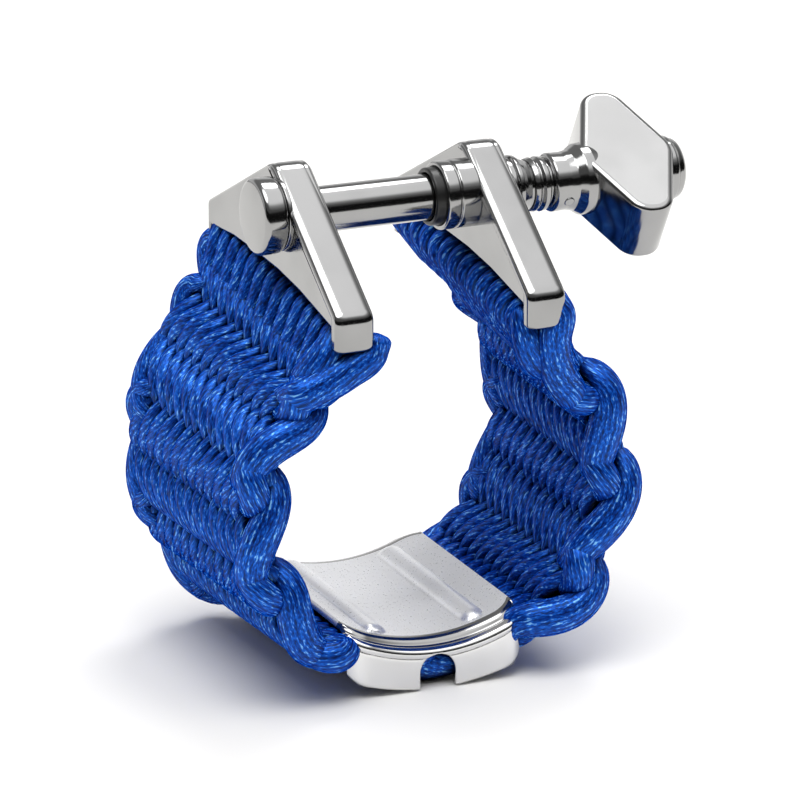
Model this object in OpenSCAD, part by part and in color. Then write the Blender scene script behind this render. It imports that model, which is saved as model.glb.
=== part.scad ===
// Woven-cord saxophone ligature. A cord band circles the mouthpiece, and two triangular
// brackets on its ends are drawn together by one thumb screw above the ring.
// The origin is the ring's centre at mid-width, +Y runs along the mouthpiece,
// +X runs along the screw towards the thumb wing, and +Z is up. Millimetres.

/* [Band] */
// Inner radius of the cord ring
band_r = 13.0; // [12.6:0.1:13.6]
// Thickness of the woven cord band
band_t = 3.4; // [3.0:0.1:3.6]
// Width of the band along the mouthpiece
band_w = 24.6; // [23.5:0.1:25.5]
// Angle from the top at which the full-width band ends
band_end_angle = 36; // [35:0.5:40]
// Half angle at the bottom that the plate takes up
plate_angle = 33; // [33:0.5:36]

/* [Brackets] */
// Distance between the brackets' middle planes
bracket_gap = 15.4; // [15:0.1:16]
// Width of the polished strap on the near slope
strap_w = 3.2; // [2.8:0.1:3.6]
// Thickness of the polished strap
strap_t = 1.0; // [0.8:0.1:1.2]
// Thickness of the bracket's web
web_t = 2.5; // [2.2:0.1:2.8]
// Length of a bracket along its base
bracket_l = 25.6; // [25:0.1:26.5]
// Height of the bracket's base above the ring's centre
bracket_base = 13.8; // [13.7:0.1:14]
// Height of a bracket's blunt end face
bracket_end_h = 2.1; // [1.9:0.1:2.3]
// Height of a bracket's far end
bracket_far_h = 4.3; // [4:0.1:4.6]
// Height of a bracket's apex above the ring's centre
bracket_top = 24.2; // [24:0.1:25]
// Radius of the rounded apex
apex_r = 1.9; // [1.5:0.1:2.4]

/* [Screw line] */
// Height of the screw's axis above the ring's centre
screw_z = 20.7; // [20.4:0.1:20.9]
// Place of the screw's axis along the mouthpiece
screw_y = -1.9; // [-2.2:0.1:-0.9]
// Diameter of the draw tube
tube_d = 3.5; // [3.3:0.1:3.7]
// Diameter of the screw's shank
shank_d = 2.0; // [1.8:0.1:2.1]
// Diameter of the button head
head_d = 5.8; // [5.4:0.1:6]
// Outer diameter of the guide bush
bush_d = 5.2; // [5:0.1:5.4]
// Running clearance on a radius
clearance = 0.05; // [0.03:0.01:0.08]

/* [Thumb wing] */
// Distance of the wing's middle from the ring's middle plane
wing_x = 18.8; // [18.4:0.1:19.2]
// Length of the wing from tip to tip
wing_span = 12.8; // [12:0.1:13.6]
// Width of the wing along the screw
wing_w = 7.8; // [7:0.1:8.4]
// Width of the wing's blunt tips
wing_tip_w = 2.6; // [2:0.1:3]
// Thickness of the wing
wing_t = 5.2; // [5.2:0.1:5.6]
// Turn of the wing about the screw, from level
wing_turn = 30; // [0:5:90]

/* [Reed plate] */
// Width of the plate across the ring
plate_w = 14.2; // [13.4:0.1:14.2]
// Length of the plate along the mouthpiece
plate_l = 21.8; // [21:0.1:22]
// Thickness of the plate's sheet
plate_t = 0.8; // [0.6:0.05:0.9]
// Depth of the plate's upper face below the ring's centre
plate_z = 11.1; // [11:0.1:11.4]
// Radius of the plate's hollow upper face
plate_r = 15; // [14.5:0.5:16]
// Distance between the plate's two ribs
rib_gap = 8.0; // [7.6:0.1:8.4]

/* [Hidden] */
$fn = 96;
EPS = 0.01;

steel = [0.78, 0.78, 0.80];
dark = [0.08, 0.08, 0.09];
cord_blue = [0.03, 0.18, 0.75];

// Ring
outer_r = band_r + band_t;
mid_r = band_r + band_t / 2;
knuckle_r = band_t / 2;
sector_reach = 40;

// Brackets and anchor pins
bracket_x = bracket_gap / 2;
bracket_mid_y = -0.5;
bracket_near = bracket_mid_y - bracket_l / 2;
bracket_far = bracket_mid_y + bracket_l / 2;
apex_z = bracket_top - apex_r;
end_top = bracket_base + bracket_end_h;
slope_run = bracket_l / 2;
slope_rise = apex_z - end_top;
far_top = bracket_base + bracket_far_h;
far_rise = apex_z - far_top;
far_angle = atan2(far_rise, slope_run) + asin(apex_r / norm([slope_run, far_rise]));
slope_angle = atan2(slope_rise, slope_run) + asin(apex_r / norm([slope_run, slope_rise]));
pin_r = 0.75;
pin_z = bracket_base + 1.05;
lug_l = 2.4;
slot_near = bracket_near + lug_l;
slot_far = bracket_far - lug_l;
loop_r = 2.0;
loop_gap = 0.15;
slot_r = loop_r + loop_gap;
loop_end_gap = 0.2;

// Screw line, from the head to the end of the hub
web_face = bracket_x + web_t / 2;
washer_t = 0.35;
head_t = 1.9;
tube_end = 3.9;
tube_bore_end = -7.6;
liner_start = 2.8;
bush_start = 3.6;
bush_end = web_face;
liner_end = web_face - 0.5;
liner_r = tube_d / 2 + clearance + 0.4;
shank_start = -2.6;
thrust_t = 0.5;
collar_l = 1.5;
sleeve_l = 1.6;
thrust_start = web_face + 0.05;
collar_start = thrust_start + thrust_t;
sleeve_start = collar_start + collar_l;
hub_start = sleeve_start + sleeve_l;
hub_d = 5.1;
hub_end = 22.8;
shank_end = 19.0;
socket_end = hub_end - 1.8;
cross_pin_x = hub_start + 1.0;
cross_pin_r = 0.35;

// Reed plate
plate_arc_z = plate_r - plate_z;
cord_under = 3.0;
base_r = 20;
base_arc_z = base_r - plate_z - plate_t - cord_under;
flange_r = base_r - 0.4;
notch_w = 2.6;
notch_h = 2.7;
rib_r = 1.05;
rib_l = 16.5;
rib_rise = 0.45;

// Turns a profile drawn in the X-Z plane into a solid along Y
module along_y(length, mid = 0)
    translate([0, mid + length / 2, 0]) rotate([90, 0, 0]) linear_extrude(length) children();

// Turns a profile drawn in the Y-Z plane into a solid along X
module along_x(length, start)
    translate([start, 0, 0]) rotate([90, 0, 90]) linear_extrude(length) children();

// Round bar along Y
module bar_y(r, near, far)
    translate([0, near, 0]) rotate([-90, 0, 0]) cylinder(r = r, h = far - near);

// Round bar on the screw's axis
module screw_bar(r, from, to)
    translate([from, screw_y, screw_z]) rotate([0, 90, 0]) cylinder(r = r, h = to - from);

// Wedge of the ring between two angles from the top, towards +X
module wedge(from, to)
    polygon([
        [0, 0],
        sector_reach * [sin(from), cos(from)],
        sector_reach * [sin((from + to) / 2), cos((from + to) / 2)],
        sector_reach * [sin(to), cos(to)]
    ]);

// Part of the ring's section between two angles from the top, towards +X
module ring_sector(from, to)
    intersection() {
        difference() {
            circle(r = outer_r);
            circle(r = band_r);
        }
        wedge(from, to);
    }

// Right-hand upper band: a sector that ends in a round knuckle at the level of the centre
module upper_band() {
    along_y(band_w) {
        ring_sector(band_end_angle, 90);
        translate([mid_r, 0]) circle(r = knuckle_r - EPS);
    }
}

// Right-hand lower band: a sector with a round seat for the knuckle above it
module lower_band()
    along_y(band_w) difference() {
        ring_sector(90, 180 - plate_angle);
        translate([mid_r, 0]) circle(r = knuckle_r + clearance);
    }

// Right-hand loops of cord round the anchor pin, with the neck that joins them to the band
module end_loops() {
    near = slot_near + loop_end_gap;
    far = slot_far - loop_end_gap;
    difference() {
        union() {
            translate([bracket_x, 0, pin_z]) bar_y(loop_r, near, far);
            along_y(far - near, (near + far) / 2) ring_sector(29, band_end_angle);
        }
        translate([bracket_x, 0, pin_z]) bar_y(pin_r + clearance, near - 1, far + 1);
    }
}

// Side outline of a bracket, with its apex rounded
module bracket_outline()
    polygon(concat(
        [[bracket_near, bracket_base], [bracket_far, bracket_base], [bracket_far, far_top]],
        [for (i = [0:12])
            let (a = 90 - far_angle + i * (far_angle + slope_angle) / 12)
            [bracket_mid_y + apex_r * cos(a), apex_z + apex_r * sin(a)]],
        [[bracket_near, end_top]]
    ));

// Outline of the strap along the near slope, down over the blunt end face
module strap_outline()
    difference() {
        bracket_outline();
        translate([strap_t * sin(slope_angle) + 0.35, -strap_t * cos(slope_angle)])
            bracket_outline();
        translate([bracket_mid_y, bracket_base - 1]) square([bracket_l, 20]);
    }

// Right-hand bracket without its screw hole
module bracket_blank()
    difference() {
        union() {
            along_x(web_t, bracket_x - web_t / 2) bracket_outline();
            along_x(strap_w, bracket_x - strap_w / 2) strap_outline();
            for (y = [bracket_near, bracket_far - lug_l])
                translate([bracket_x - strap_w / 2, y, bracket_base])
                    cube([strap_w, lug_l, bracket_end_h]);
        }
        translate([bracket_x, 0, pin_z]) {
            bar_y(slot_r, slot_near, slot_far);
            bar_y(pin_r, bracket_near + 0.4, bracket_far - 0.4);
        }
        translate([bracket_x - strap_w, slot_near, bracket_base - 1])
            cube([2 * strap_w, slot_far - slot_near, pin_z - bracket_base + 1]);
    }

module anchor_pin()
    translate([bracket_x, 0, pin_z]) bar_y(pin_r, bracket_near + 0.4, bracket_far - 0.4);

module reed_plate()
    color(steel) difference() {
        union() {
            // Hollow sheet
            along_y(plate_l) intersection() {
                difference() {
                    translate([0, plate_arc_z]) circle(r = plate_r + plate_t);
                    translate([0, plate_arc_z]) circle(r = plate_r);
                }
                translate([-plate_w / 2, -20]) square([plate_w, 18]);
            }
            // Flanges down both ends of the band
            for (side = [-1, 1])
                along_y(plate_t, side * (plate_l - plate_t) / 2) intersection() {
                    difference() {
                        translate([0, base_arc_z]) circle(r = flange_r);
                        translate([0, plate_arc_z]) circle(r = plate_r);
                    }
                    translate([-plate_w / 2, -20]) square([plate_w, 18]);
                }
            // Ribs that bear on the reed, with round ends
            for (side = [-1, 1])
                translate([side * rib_gap / 2, 0, plate_arc_z
                    - sqrt(plate_r * plate_r - rib_gap * rib_gap / 4) + rib_rise - rib_r]) {
                    bar_y(rib_r, -rib_l / 2, rib_l / 2);
                    for (end = [-1, 1]) translate([0, end * rib_l / 2, 0]) sphere(r = rib_r);
                }
        }
        // Space under the sheet for the cords
        along_y(plate_l - 2 * plate_t) difference() {
            translate([0, base_arc_z]) circle(r = base_r + 1);
            translate([0, plate_arc_z]) circle(r = plate_r + plate_t);
            translate([-20, -5]) square([40, 40]);
        }
        // Notch in the near flange
        along_y(4, -plate_l / 2) {
            translate([-notch_w / 2, -20])
                square([notch_w, 20 - plate_z - plate_t - cord_under + notch_h - notch_w / 2]);
            translate([0, -plate_z - plate_t - cord_under + notch_h - notch_w / 2])
                circle(r = notch_w / 2);
        }
    }

module plate_band()
    color(cord_blue) along_y(plate_l - 2 * plate_t - 2 * clearance) intersection() {
        difference() {
            translate([0, base_arc_z]) circle(r = base_r);
            translate([0, plate_arc_z]) circle(r = plate_r + plate_t);
        }
        wedge(180 - plate_angle, 180 + plate_angle);
    }

module left_lower_band() color(cord_blue) mirror([1, 0, 0]) lower_band();
module right_lower_band() color(cord_blue) lower_band();
module left_upper_band() color(cord_blue) mirror([1, 0, 0]) upper_band();
module right_upper_band() color(cord_blue) upper_band();
module left_end_loops() color(cord_blue) mirror([1, 0, 0]) end_loops();
module right_end_loops() color(cord_blue) end_loops();
module left_anchor_pin() color(steel) mirror([1, 0, 0]) anchor_pin();
module right_anchor_pin() color(steel) anchor_pin();

module left_bracket()
    color(steel) difference() {
        mirror([1, 0, 0]) bracket_blank();
        screw_bar(tube_d / 2, -bracket_x - strap_w, -bracket_x + strap_w);
        // Room for the washer and the head against the web
        screw_bar(head_d / 2 + clearance, -bracket_x - strap_w, -web_face);
    }

module right_bracket()
    color(steel) difference() {
        bracket_blank();
        screw_bar(bush_d / 2, bracket_x - strap_w, bracket_x + web_t / 2 + EPS);
        // Room for the thrust washer against the web
        screw_bar(bush_d / 2 + 0.1, web_face, bracket_x + strap_w);
    }

module draw_tube()
    color(steel) difference() {
        screw_bar(tube_d / 2, -web_face - washer_t, tube_end);
        screw_bar(shank_d / 2 + clearance, tube_bore_end, tube_end + 1);
    }

module tube_head()
    color(steel) translate([-web_face - washer_t, screw_y, screw_z]) rotate([0, -90, 0])
        rotate_extrude() polygon(concat(
            [[0, 0], [head_d / 2, 0]],
            [for (a = [0:15:90])
                [head_d / 2 - 0.5 + 0.5 * cos(a), head_t - 0.5 + 0.5 * sin(a)]],
            [[0, head_t]]
        ));

module head_washer()
    color(steel) difference() {
        screw_bar(head_d / 2 - 0.15, -web_face - washer_t, -web_face);
        screw_bar(tube_d / 2, -web_face - 1, -web_face + 1);
    }

module guide_bush()
    color(steel) difference() {
        screw_bar(bush_d / 2, bush_start, bush_end);
        screw_bar(liner_r, bush_start - 1, liner_end);
        screw_bar(shank_d / 2 + clearance, bush_start, bush_end + 1);
    }

module bush_liner()
    color(dark) difference() {
        screw_bar(liner_r, liner_start, liner_end);
        screw_bar(tube_d / 2 + clearance, liner_start - 1, liner_end + 1);
    }

module screw_shank()
    color(steel) difference() {
        screw_bar(shank_d / 2, shank_start, shank_end);
        translate([cross_pin_x, screw_y, screw_z]) rotate([wing_turn, 0, 0])
            bar_y(cross_pin_r, -hub_d, hub_d);
    }

module thrust_washer()
    color(steel) difference() {
        screw_bar(2.3, thrust_start, collar_start);
        screw_bar(shank_d / 2, thrust_start - 1, collar_start + 1);
    }

// Turned collar with two raised beads
module neck_collar()
    color(steel) translate([collar_start, screw_y, screw_z]) rotate([0, 90, 0])
        difference() {
            rotate_extrude() polygon([
                [0.5, 0], [1.9, 0], [2.15, 0.25], [2.15, 0.45], [1.8, 0.7], [1.8, 0.85],
                [2.35, 1.1], [2.35, 1.25], [2.1, collar_l], [0.5, collar_l]
            ]);
            translate([0, 0, -1]) cylinder(r = shank_d / 2, h = collar_l + 2);
        }

// Turned sleeve between the collar and the thumb wing's hub
module neck_sleeve()
    color(steel) translate([sleeve_start, screw_y, screw_z]) rotate([0, 90, 0])
        difference() {
            rotate_extrude() polygon([
                [0.5, 0], [1.7, 0], [1.7, 0.5], [2.1, 0.75], [2.1, 0.95], [1.75, 1.2],
                [1.75, 1.3], [2.0, sleeve_l], [0.5, sleeve_l]
            ]);
            translate([0, 0, -1]) cylinder(r = shank_d / 2, h = sleeve_l + 2);
        }

// Six-sided outline of the wing, in the plane of its face
module wing_outline()
    offset(r = 0.6) offset(delta = -0.6) polygon([
        [-wing_w / 2, 0], [-wing_tip_w / 2, wing_span / 2], [wing_tip_w / 2, wing_span / 2],
        [wing_w / 2, 0], [wing_tip_w / 2, -wing_span / 2], [-wing_tip_w / 2, -wing_span / 2]
    ]);

module thumb_wing()
    color(steel) difference() {
        union() {
            screw_bar(hub_d / 2, hub_start, hub_end);
            translate([wing_x, screw_y, screw_z]) rotate([wing_turn, 0, 0])
                linear_extrude(wing_t, center = true) wing_outline();
        }
        screw_bar(shank_d / 2, hub_start - 1, shank_end);
        screw_bar(1.7, socket_end, hub_end + 1);
        translate([cross_pin_x, screw_y, screw_z]) rotate([wing_turn, 0, 0])
            bar_y(cross_pin_r, -hub_d, hub_d);
    }

module cross_pin()
    color(steel) translate([cross_pin_x, screw_y, screw_z]) rotate([wing_turn, 0, 0])
        bar_y(cross_pin_r, -hub_d / 2 + 0.1, hub_d / 2 - 0.1);

// Domed plug in the end of the hub
module end_cap()
    color(steel) translate([socket_end, screw_y, screw_z]) rotate([0, 90, 0])
        rotate_extrude() polygon(concat(
            [[0, 0], [1.7, 0], [1.7, hub_end - socket_end]],
            [for (a = [0:15:90])
                [1.6 + 0.8 * cos(a), hub_end - socket_end + 0.9 * sin(a)]],
            [[0, hub_end - socket_end + 0.9]]
        ));

reed_plate();
plate_band();
left_lower_band();
right_lower_band();
left_upper_band();
right_upper_band();
left_end_loops();
right_end_loops();
left_bracket();
right_bracket();
left_anchor_pin();
right_anchor_pin();
draw_tube();
tube_head();
head_washer();
guide_bush();
bush_liner();
screw_shank();
thrust_washer();
neck_collar();
neck_sleeve();
thumb_wing();
cross_pin();
end_cap();
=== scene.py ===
"""The looks of the woven-cord saxophone ligature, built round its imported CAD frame."""

import math
import random

import bmesh
import bpy
import numpy as np
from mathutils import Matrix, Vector


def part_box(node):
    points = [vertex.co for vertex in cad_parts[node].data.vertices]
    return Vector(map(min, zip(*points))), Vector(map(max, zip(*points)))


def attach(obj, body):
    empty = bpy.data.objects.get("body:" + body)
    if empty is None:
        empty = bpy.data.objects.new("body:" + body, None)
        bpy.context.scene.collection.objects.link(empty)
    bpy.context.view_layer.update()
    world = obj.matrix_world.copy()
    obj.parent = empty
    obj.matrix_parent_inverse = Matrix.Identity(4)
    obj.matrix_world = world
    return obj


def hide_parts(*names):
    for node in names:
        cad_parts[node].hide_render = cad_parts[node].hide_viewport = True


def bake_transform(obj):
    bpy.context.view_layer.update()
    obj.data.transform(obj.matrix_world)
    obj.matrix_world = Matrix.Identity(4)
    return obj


MM = 0.001

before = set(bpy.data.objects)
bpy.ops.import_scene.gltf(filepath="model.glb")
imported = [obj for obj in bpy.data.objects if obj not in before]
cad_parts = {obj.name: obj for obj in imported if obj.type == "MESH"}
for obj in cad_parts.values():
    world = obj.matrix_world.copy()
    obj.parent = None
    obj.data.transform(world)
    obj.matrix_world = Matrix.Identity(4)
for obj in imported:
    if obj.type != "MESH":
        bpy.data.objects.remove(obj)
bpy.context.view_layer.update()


# --- Sizes from the frame, in millimetres ---------------------------------------------------------

def size_of(node):
    """Lowest and highest corner of a CAD node in millimetres."""
    low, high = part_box(node)
    return np.array(low) / MM, np.array(high) / MM


def radius_of(node):
    """Radius in millimetres of a CAD node that is round about the screw's axis."""
    low, high = size_of(node)
    return (high[2] - low[2]) / 2


BAND_HIGH = size_of("right_upper_band")[1]
BRACKET_LOW, BRACKET_HIGH = size_of("right_bracket")
PIN_LOW, PIN_HIGH = size_of("right_anchor_pin")
TUBE_LOW, TUBE_HIGH = size_of("draw_tube")
HEAD_LOW, HEAD_HIGH = size_of("tube_head")
SHANK_LOW, SHANK_HIGH = size_of("screw_shank")
WASHER_LOW, WASHER_HIGH = size_of("head_washer")
BUSH_LOW, BUSH_HIGH = size_of("guide_bush")
LINER_LOW, LINER_HIGH = size_of("bush_liner")
THRUST_LOW, THRUST_HIGH = size_of("thrust_washer")
COLLAR_LOW = size_of("neck_collar")[0]
SLEEVE_LOW, SLEEVE_HIGH = size_of("neck_sleeve")
WING_LOW = size_of("thumb_wing")[0]
CAP_HIGH = size_of("end_cap")[1]
PLATE_HIGH = size_of("reed_plate")[1]
FLOOR_Z = size_of("plate_band")[0][2]

HALF_WIDTH = BAND_HIGH[1]
OUTER_R = BAND_HIGH[0]
BAND_THICKNESS = 3.4
MID_R = OUTER_R - BAND_THICKNESS / 2
PIN = np.array([(PIN_LOW[0] + PIN_HIGH[0]) / 2, 0.0, (PIN_LOW[2] + PIN_HIGH[2]) / 2])
SCREW_Y = (TUBE_LOW[1] + TUBE_HIGH[1]) / 2
SCREW_Z = (TUBE_LOW[2] + TUBE_HIGH[2]) / 2

# --- The weave -------------------------------------------------------------------------------------

# Lengths are in millimetres, and angles in degrees down from the ring's top.
STRANDS = 26
STRAND_PITCH = 0.78
STRAND_WIDE = 1.56
STRAND_DEEP = 1.45
STRAND_NARROW = 0.9
CORD_SIDES = 14
WARP_THREADS = 12

# How far a strand swings out and in from the middle line, and sideways
WEAVE_DEPTH = 0.86
WEAVE_SLANT = 0.85
ROWS_PER_SIDE = 9

# The turn round the anchor pin, and where the weave starts below it
LOOP_R = 1.2
LOOP_LEG = 2.8

# The band leaves the circle at STRAIGHT_FROM to reach the pin, and is drawn in at the bottom.
STRAIGHT_FROM = 48.0
BOTTOM_DROP = 1.32
BOTTOM_FROM = 128
BOTTOM_FADE = 44
PIN_HEADING = (-0.42, 0.91)
PIN_PULL = 0.36

# How the far side differs from the near one
FLARE = 0.034
TOP_TILT = 0.125
TOP_DROP = -0.7
TILT_FADE = 13.0

# Where the strands under the plate start, in degrees down from the ring's top
PLATE_CUT = 161.0


def smooth(x):
    """Rises from 0 to 1 as x goes from 0 to 1, with level ends."""
    x = np.clip(x, 0.0, 1.0)
    return x * x * (3 - 2 * x)


def middle_line():
    """Points of the band's middle line in the X-Z plane, from the right pin to the bottom."""
    start = math.radians(STRAIGHT_FROM)
    join = MID_R * np.array([math.sin(start), math.cos(start)])
    heading = np.array([-math.cos(start), math.sin(start)])
    pin = np.array([PIN[0], PIN[2]])
    reach = np.linalg.norm(pin - join)
    arrive = np.array(PIN_HEADING)
    t = np.linspace(1, 0, 40)[:, None]
    controls = [join, join + heading * reach * PIN_PULL, pin - arrive * reach * PIN_PULL, pin]
    rise = sum(
        c * k * (1 - t) ** (3 - i) * t ** i
        for i, (c, k) in enumerate(zip(controls, (1, 3, 3, 1)))
    )
    theta = np.radians(np.linspace(STRAIGHT_FROM, 180, 400))[1:]
    radius = MID_R - BOTTOM_DROP * smooth((np.degrees(theta) - BOTTOM_FROM) / BOTTOM_FADE)
    arc = np.stack([radius * np.sin(theta), radius * np.cos(theta)], 1)
    return np.concatenate([rise, arc])


LINE = middle_line()
LINE_U = np.concatenate([[0], np.cumsum(np.linalg.norm(np.diff(LINE, axis=0), axis=1))])
HALF_LENGTH = LINE_U[-1]
ROW = (HALF_LENGTH - LOOP_LEG) / ROWS_PER_SIDE
U_CUT = HALF_LENGTH - MID_R * math.radians(180 - PLATE_CUT)


def line_frame(u):
    """Place, outward normal and onward tangent of the right half's middle line at length u."""
    x = np.interp(u, LINE_U, LINE[:, 0])
    z = np.interp(u, LINE_U, LINE[:, 1])
    step = 0.4
    at = np.maximum(u, 0)
    dx = np.interp(at + step, LINE_U, LINE[:, 0]) - np.interp(at - step, LINE_U, LINE[:, 0])
    dz = np.interp(at + step, LINE_U, LINE[:, 1]) - np.interp(at - step, LINE_U, LINE[:, 1])
    size = np.hypot(dx, dz)
    dx, dz = dx / size, dz / size
    zero = np.zeros_like(x)
    tangent = np.stack([dx, zero, dz], -1)
    place = np.stack([x, zero, z], -1) + tangent * np.minimum(u, 0)[..., None]
    normal = np.stack([-dz, zero, dx], -1)
    return place, normal, tangent


def flare(u, y):
    """How far the band leans outward at y: out at the far side, in at the near one."""
    return FLARE * y * smooth(u / 9.0) * smooth((HALF_LENGTH - u) / 9.0)


def lie_across(u, y):
    """Where a cord at y lies: drawn in between the plate's flanges, and moved between the lugs."""
    at_plate = smooth((u - HALF_LENGTH + 9.5) / 4.0)
    at_pin = 1 - smooth(u / 7.0)
    return y * (1 - 0.05 * at_plate + 0.14 * at_pin) + 0.6 * at_pin


def lift(u, y):
    """How far the band's top edge is raised at y: its far end sits higher than its near one."""
    return (TOP_TILT * y + TOP_DROP) * (1 - smooth(u / TILT_FADE))


def on_band(u, out, y, side):
    """Place and outward normal at length u from the pin, out from the middle line, at y.

    side is 1 for the right half, and -1 for the left one, its mirror image."""
    place, normal, _ = line_frame(u)
    point = place + normal * (out + flare(u, y))[:, None]
    point[:, 1] = lie_across(u, y)
    point[:, 2] += lift(u, y)
    turn = np.array([side, 1.0, 1.0])
    return point * turn, normal * turn


# --- Mesh building ---------------------------------------------------------------------------------

class Mesh:
    """Collects vertices, faces and thread coordinates of several closed shapes."""

    def __init__(self):
        self.points, self.faces, self.uvs = [], [], []
        self.count = 0

    def add(self, points, faces, uvs):
        """Adds one shape, whose faces count from its own first point."""
        self.points.append(points)
        self.faces += [[self.count + i for i in f] for f in faces]
        self.uvs += uvs
        self.count += len(points)

    def make(self, name, material):
        """An object of all the shapes so far."""
        data = bpy.data.meshes.new(name)
        points = np.concatenate(self.points) * MM
        data.from_pydata(points.tolist(), [], self.faces)
        layer = data.uv_layers.new(name="thread")
        flat = [c for face in self.uvs for uv in face for c in uv]
        layer.data.foreach_set("uv", flat)
        data.polygons.foreach_set("use_smooth", [True] * len(data.polygons))
        data.materials.append(material)
        data.validate()
        obj = bpy.data.objects.new(name, data)
        bpy.context.scene.collection.objects.link(obj)
        return obj


def sweep(mesh, path, normal, wide, deep, threads, sides=CORD_SIDES, offset=0.0):
    """Adds a closed cord along path. wide is its size across the normal, deep along it.

    Its thread coordinates are the length in millimetres and the count of threads round it."""
    path = np.asarray(path, float)
    count = len(path)
    tangent = np.gradient(path, axis=0)
    tangent /= np.linalg.norm(tangent, axis=1)[:, None]
    normal = normal - tangent * np.sum(normal * tangent, 1)[:, None]
    normal /= np.linalg.norm(normal, axis=1)[:, None]
    side = np.cross(tangent, normal)
    wide = np.broadcast_to(np.asarray(wide, float), (count,)) / 2
    deep = np.broadcast_to(np.asarray(deep, float), (count,)) / 2
    angle = np.linspace(0, 2 * math.pi, sides, endpoint=False)
    ring = (
        side[:, None, :] * (np.cos(angle) * wide[:, None])[:, :, None]
        + normal[:, None, :] * (np.sin(angle) * deep[:, None])[:, :, None]
    )
    points = (path[:, None, :] + ring).reshape(-1, 3)
    length = np.concatenate([[0], np.cumsum(np.linalg.norm(np.diff(path, axis=0), axis=1))])
    faces, uvs = [], []
    for i in range(count - 1):
        a, b = i * sides, (i + 1) * sides
        for j in range(sides):
            k = (j + 1) % sides
            faces.append([a + j, b + j, b + k, a + k])
            v0, v1 = threads * j / sides, threads * (j + 1) / sides
            u0, u1 = length[i] + offset, length[i + 1] + offset
            uvs.append([(u0, v0), (u1, v0), (u1, v1), (u0, v1)])
    for end, order in ((0, 1), (count - 1, -1)):
        base = end * sides
        loop = [base + j for j in range(sides)][::order]
        faces.append(loop)
        uvs.append([(length[end] + offset, threads * (i - base) / sides) for i in loop])
    mesh.add(points, faces, uvs)


def wave(phase):
    """A cosine with broader crests and steeper crossings."""
    c = np.cos(phase)
    return np.sign(c) * np.abs(c) ** 0.72


def strand_line(j, u, side):
    """Place, normal, width and depth of warp strand j at lengths u from the pin on one side."""
    parity = j % 2
    phase = math.pi * ((u - LOOP_LEG) / ROW + parity)
    over = wave(phase)
    out = WEAVE_DEPTH * over
    sway = np.sin(math.pi * (u - LOOP_LEG) / ROW)
    wobble = 0.07 * np.sin(1.3 * u + 2.1 * j + side) * smooth((u - LOOP_LEG) / 3)
    wobble *= smooth((HALF_LENGTH - u) / 3)
    y = (j - (STRANDS - 1) / 2) * STRAND_PITCH + side * WEAVE_SLANT * sway + wobble
    point, normal = on_band(u, out, y, side)
    crest = np.abs(over) ** 1.3
    wide = STRAND_NARROW + (STRAND_WIDE - STRAND_NARROW) * crest
    deep = STRAND_DEEP * (1.08 - 0.08 * crest)
    return point, normal, wide, deep


def pin_loop(j, side):
    """The cord's turn round the anchor pin, from strand j on the outside to j + 1 on the inside."""
    alpha = np.radians(np.linspace(0, 180, 25))
    place, normal, tangent = line_frame(np.array([0.0]))
    n, d = normal[0], tangent[0]
    radial = np.cos(alpha)[:, None] * n - np.sin(alpha)[:, None] * d
    y0 = (j - (STRANDS - 1) / 2) * STRAND_PITCH
    y = y0 + STRAND_PITCH * alpha / math.pi
    point = place[0] + radial * LOOP_R
    point[:, 1] = lie_across(np.zeros_like(y), y)
    point[:, 2] += lift(np.zeros_like(y), y)
    turn = np.array([side, 1.0, 1.0])
    return point * turn, radial * turn


def pair_path(j, side, u_end):
    """Strand j up to the pin, round it, and back down as strand j + 1."""
    u = np.arange(LOOP_LEG, u_end, 0.2)
    up, up_n, up_w, up_d = strand_line(j, u[::-1], side)
    down, down_n, down_w, down_d = strand_line(j + 1, u, side)
    loop, loop_n = pin_loop(j, side)
    down_n = -down_n
    path = np.concatenate([up, loop, down])
    normal = np.concatenate([up_n, loop_n, down_n])
    loop_w = np.full(len(loop), STRAND_WIDE * 0.94)
    loop_d = np.full(len(loop), STRAND_DEEP)
    wide = np.concatenate([up_w, loop_w, down_w])
    deep = np.concatenate([up_d, loop_d, down_d])
    return even_path(path, normal, wide, deep, 0.24)


def even_path(path, normal, wide, deep, step):
    """Resamples a path at even steps, which rounds its joins."""
    length = np.concatenate([[0], np.cumsum(np.linalg.norm(np.diff(path, axis=0), axis=1))])
    count = max(8, int(length[-1] / step))
    at = np.linspace(0, length[-1], count)
    out = [np.stack([np.interp(at, length, p[:, k]) for k in range(3)], 1) for p in (path, normal)]
    return out[0], out[1], np.interp(at, length, wide), np.interp(at, length, deep)


# --- Edge cords ------------------------------------------------------------------------------------

EDGE_PITCH = 2 * ROW
EDGE_WIDE = 2.9
EDGE_DEEP = 2.5
EDGE_FIRST = {-1: 9.6, 1: 12.2}
EDGE_REACH = 0.56
EDGE_THREADS = 22
EDGE_SIDES = 28
END_TUCK = 2.4

# How far the edge cords move outward beside the plate
EDGE_SHIFT = 0.4
NEAR_LEFT_SHIFT = -0.9

# The edge cord that shows through the plate's notch
NOTCH_CORD_Y = 9.5
NOTCH_CORD_WIDE = 2.4
NOTCH_CORD_DEEP = 2.8
NOTCH_CORD_HALF = 5.5


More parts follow.
